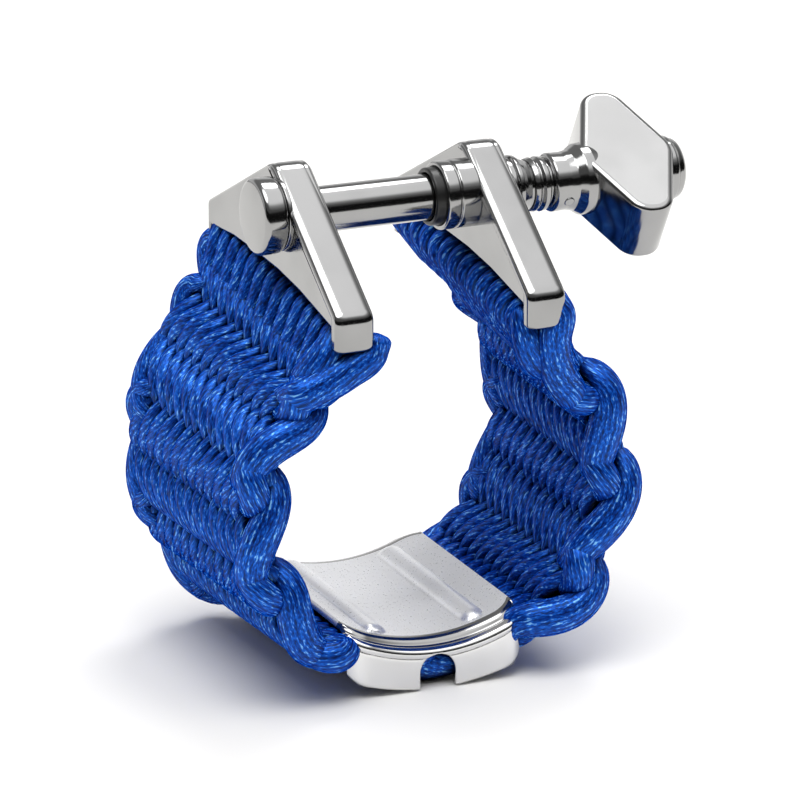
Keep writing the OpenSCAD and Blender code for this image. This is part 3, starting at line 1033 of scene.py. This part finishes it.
def reed_plate():
    """Pressed sheet: hollow top with ribs, and flanges turned down at both ends over a bead."""
    width = PLATE_HIGH[0] - 0.05
    x = width * np.sin(np.linspace(-0.5, 0.5, 141) * math.pi)
    end = PLATE_HIGH[1] - PLATE_SHEET / 2 + 0.15
    fold_out, fold_drop = end_fold(26)
    flat_end = end + fold_out[0]
    back = corner_back(x)
    rows = []
    for direction in (-1, 1):
        part = []
        top = plate_top(x, np.full_like(x, direction * flat_end))
        for out, drop in zip(fold_out[1:], fold_drop[1:]):
            part.append((x, direction * (end + out - back), top + drop))
        low = top + fold_drop[-1]
        foot = flange_foot(x)
        for t in np.linspace(0, 1, 12)[1:]:
            out = end + fold_out[-1] + 0.1 * t
            part.append((x, direction * (out - back), low + (foot - low) * t))
        rows.append(part)
    near = rows[0][::-1]
    flat = []
    for t in np.linspace(-1, 1, 150):
        y = t * (flat_end - back)
        flat.append((x, y, plate_top(x, y)))
    all_rows = near + flat + rows[1]
    points = np.stack([np.stack(r, 1) for r in all_rows])
    points[..., 2] -= PLATE_SHEET / 2
    n = len(x)
    faces = [
        [i * n + j, i * n + j + 1, (i + 1) * n + j + 1, (i + 1) * n + j]
        for i in range(len(all_rows) - 1) for j in range(n - 1)
    ]
    data = bpy.data.meshes.new("reed_plate_sheet")
    data.from_pydata((points.reshape(-1, 3) * MM).tolist(), [], faces)
    obj = link("reed_plate_sheet", data, PLATE_SATIN_AND_SHEEN)
    data.materials.append(PAINTED_SHEEN_STEEL)
    data.materials.append(STEEL)
    middle = (len(all_rows) - 1) / 2
    # Painted shade and sheen on one sheet of steel: the flat top takes the plate steel, the top of
    # the fold the darker polished steel as a painted dark band, and the rest of the fold and the
    # flanges the lighter copy as a painted sheen.
    for i, polygon in enumerate(data.polygons):
        beyond = abs(i // (n - 1) + 0.5 - middle) - len(flat) / 2
        polygon.material_index = 0 if beyond < -1 else 2 if beyond < 10 else 1
    thick = obj.modifiers.new("sheet", "SOLIDIFY")
    thick.thickness = SEEN_SHEET * MM
    thick.offset = 0

    top = -PLATE_TOP - NOTCH_DROP
    arch = [
        (NOTCH_R * math.cos(a), top - NOTCH_R + NOTCH_R * math.sin(a))
        for a in np.linspace(0, math.pi, 25)
    ]
    arch = [(NOTCH_R, top - 6)] + arch + [(-NOTCH_R, top - 6)]
    carve(obj, prism(
        "notch_cutter", arch, -end - 2, -end + 1.2, lambda a, b, h: (a, h, b),
        PAINTED_SHEEN_STEEL, 0.01, 1))
    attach(obj, "root")
    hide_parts("reed_plate")


# --- The band --------------------------------------------------------------------------------------

def build_band():
    """The woven band and its edges, running round from the root to the two upper bands."""
    rng = random.Random(7)
    for side, label in ((-1, "left"), (1, "right")):
        warp = warp_half(side, rng).make(f"{label}_warp_cords", WARP)
        edges = [
            edge_run(side, edge, rng).make(f"{label}_{name}_edge_cords", EDGE)
            for edge, name in ((-1, "near"), (1, "far"))
        ]
        for piece in [warp] + edges:
            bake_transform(piece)
        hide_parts(f"{label}_lower_band", f"{label}_upper_band", f"{label}_end_loops")
    under = warp_under_plate(rng).make("plate_warp_cords", WARP)
    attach(under, "root")
    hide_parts("plate_band")


# --- Studio ----------------------------------------------------------------------------------------

# How far the floor lies below the CAD, since the cords bulge a little below it
FLOOR_GAP = 0.1


def build_floor():
    """A pale floor under the part."""
    wide, front, behind = 0.7, -0.32, 1.0
    data = bpy.data.meshes.new("floor")
    z = (FLOOR_Z - FLOOR_GAP) * MM
    corners = [(-wide, front, z), (wide, front, z), (wide, behind, z), (-wide, behind, z)]
    data.from_pydata(corners, [], [[0, 1, 2, 3]])
    data.materials.append(floor_material())
    floor = bpy.data.objects.new("floor", data)
    bpy.context.scene.collection.objects.link(floor)


def build_world():
    """Light from all round: dim in front, bright behind, and a bright patch overhead."""
    world = bpy.data.worlds.new("studio")
    bpy.context.scene.world = world
    world.use_nodes = True
    tree = world.node_tree
    background = tree.nodes["Background"]
    coordinates = add_node(tree, "ShaderNodeTexCoord")
    split = add_node(tree, "ShaderNodeSeparateXYZ")
    tree.links.new(coordinates.outputs["Generated"], split.inputs[0])
    up = split.outputs[2]
    front_light = grey_ramp(tree, up, [(0.0, 0.02), (0.33, 0.02), (0.43, 0.26), (0.90, 0.30)])
    rear_light = grey_ramp(tree, up, [(0.0, 0.80), (0.12, 1.60), (0.34, 1.60), (0.48, 0.60)])
    facing = math_node(tree, "MULTIPLY", math_node(tree, "ADD", split.outputs[1], 0.1), 2.5)
    mix = add_node(tree, "ShaderNodeMix", data_type="RGBA", clamp_factor=True)
    tree.links.new(facing, mix.inputs[0])
    tree.links.new(front_light, mix.inputs[6])
    tree.links.new(rear_light, mix.inputs[7])
    towards = add_node(tree, "ShaderNodeVectorMath", operation="DOT_PRODUCT")
    tree.links.new(coordinates.outputs["Generated"], towards.inputs[0])
    towards.inputs[1].default_value = Vector((0.22, -0.22, 0.95)).normalized()
    ceiling = grey_ramp(tree, towards.outputs["Value"], [(0.70, 0.0), (0.80, 0.5), (0.92, 2.6)])
    add = add_node(tree, "ShaderNodeMix", data_type="RGBA", blend_type="ADD")
    add.inputs[0].default_value = 1.0
    tree.links.new(mix.outputs[2], add.inputs[6])
    tree.links.new(ceiling, add.inputs[7])
    tree.links.new(add.outputs[2], background.inputs["Color"])
    background.inputs["Strength"].default_value = 0.55


def build_lights():
    """Two wide soft suns, each with its strength, its spread in degrees and its heading."""
    for name, energy, angle, heading in (
        ("back_light", 0.8, 22, (-0.34, -0.40, -0.85)),
        ("top_light", 1.5, 45, (0.26, 0.20, -0.94)),
    ):
        light = bpy.data.lights.new(name, "SUN")
        light.energy = energy
        light.angle = math.radians(angle)
        lamp = bpy.data.objects.new(name, light)
        bpy.context.scene.collection.objects.link(lamp)
        lamp.rotation_mode = "QUATERNION"
        lamp.rotation_quaternion = Vector(heading).to_track_quat("-Z", "Y")


def build_camera():
    """A long lens from the near left, a little above."""
    azimuth, elevation, distance = math.radians(-23.19), math.radians(17.67), 0.5
    target = Vector((0, 0, 5 * MM))
    back = Vector((
        math.sin(azimuth) * math.cos(elevation),
        -math.cos(azimuth) * math.cos(elevation),
        math.sin(elevation),
    ))
    data = bpy.data.cameras.new("camera")
    data.sensor_width = 36.0
    data.lens = 297.8
    data.shift_x = 0.0234
    data.shift_y = -0.0070
    data.clip_start, data.clip_end = 0.05, 10.0
    camera = bpy.data.objects.new("camera", data)
    bpy.context.scene.collection.objects.link(camera)
    camera.location = target + back * distance
    camera.rotation_mode = "QUATERNION"
    camera.rotation_quaternion = (-back).to_track_quat("-Z", "Y")
    bpy.context.scene.camera = camera


build_camera()
build_floor()
build_world()
build_lights()
build_band()
bracket(-1, "left")
bracket(1, "right")
turned_pieces()
thumb_pieces()
reed_plate()

bpy.context.scene.view_settings.view_transform = "Standard"
